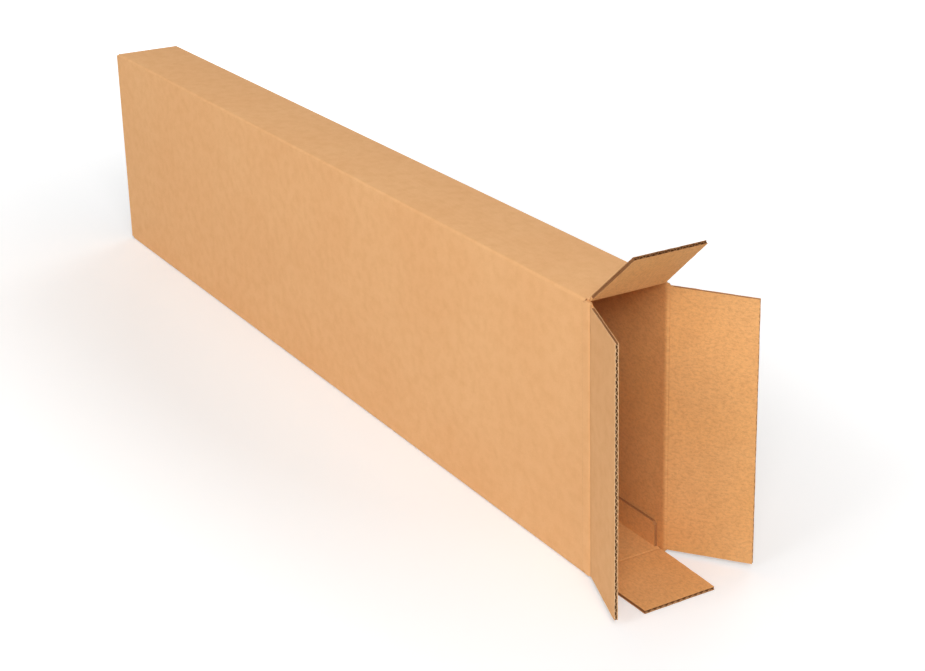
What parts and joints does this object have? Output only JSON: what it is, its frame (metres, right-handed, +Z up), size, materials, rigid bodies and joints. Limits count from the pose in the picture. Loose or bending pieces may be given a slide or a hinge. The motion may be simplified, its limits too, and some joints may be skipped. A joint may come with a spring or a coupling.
{
  "type": "side-loading corrugated box",
  "caption": "Long narrow corrugated carton lying on its side, closed at the far end and open at the near end, where hinged flaps fold over the mouth.",
  "frame": {"origin": "middle of the underside of the bottom panel", "axes": "+X along the box towards the open mouth, -Y towards the front panel, +Z up from the narrow panel that it lies on"},
  "size_m": [1.546, 0.2056, 0.4079],
  "materials": {
    "kraft_board": "matt kraft liner over C-flute board, with open flutes at cut edges"
  },
  "bodies": {
    "sleeve": {"sleeve": "kraft_board"},
    "top_flap": {"top_flap": "kraft_board"},
    "bottom_flap": {"bottom_flap": "kraft_board"},
    "front_flap": {"front_flap": "kraft_board"},
    "back_flap": {"back_flap": "kraft_board"}
  },
  "joints": [
    {"name": "top_crease", "type": "hinge", "parent": "sleeve", "child": "top_flap", "pos_m": [0.715, 0, 0.338], "axis": [0, -1, 0], "range_deg": [-132, 133]},
    {"name": "bottom_crease", "type": "hinge", "parent": "sleeve", "child": "bottom_flap", "pos_m": [0.715, 0, 0], "axis": [0, 1, 0], "range_deg": [-90, 175]},
    {"name": "front_crease", "type": "hinge", "parent": "sleeve", "child": "front_flap", "pos_m": [0.7236, -0.055, 0.169], "axis": [0, 0, -1], "range_deg": [-110, 155]},
    {"name": "back_crease", "type": "hinge", "parent": "sleeve", "child": "back_flap", "pos_m": [0.7193, 0.055, 0.169], "axis": [0, 0, 1], "range_deg": [-125, 140]}
  ]
}
